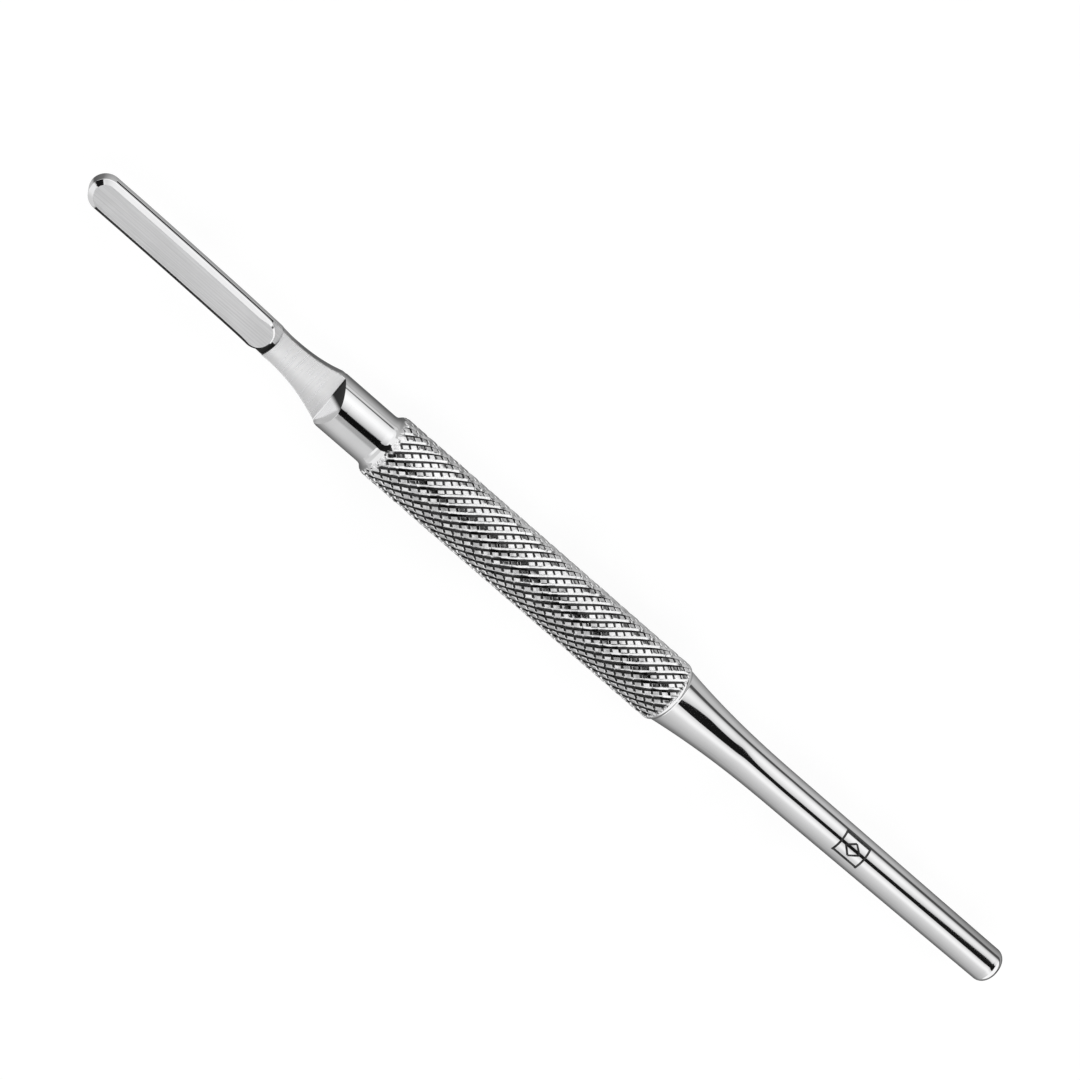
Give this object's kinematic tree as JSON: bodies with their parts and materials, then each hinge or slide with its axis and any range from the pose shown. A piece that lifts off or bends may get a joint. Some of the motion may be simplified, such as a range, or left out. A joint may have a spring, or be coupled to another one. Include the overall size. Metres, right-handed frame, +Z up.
{
  "type": "scalpel handle",
  "caption": "Round steel scalpel handle with a knurled grip, a slim tapering tail and a flat slotted fitting for a replaceable blade.",
  "frame": {"origin": "under the middle of the handle's length, on the surface it lies on; the handle's axis is one grip radius above it", "axes": "+X runs along the handle from the blade fitting to the tail, +Z is up and is the side of the fitting's raised lug"},
  "size_m": [0.14, 0.0078, 0.0078],
  "materials": {
    "steel": "polished shaft and collar, brushed flats, bright cut knurl"
  },
  "bodies": {
    "root": {"scalpel_handle": "steel"}
  },
  "joints": []
}
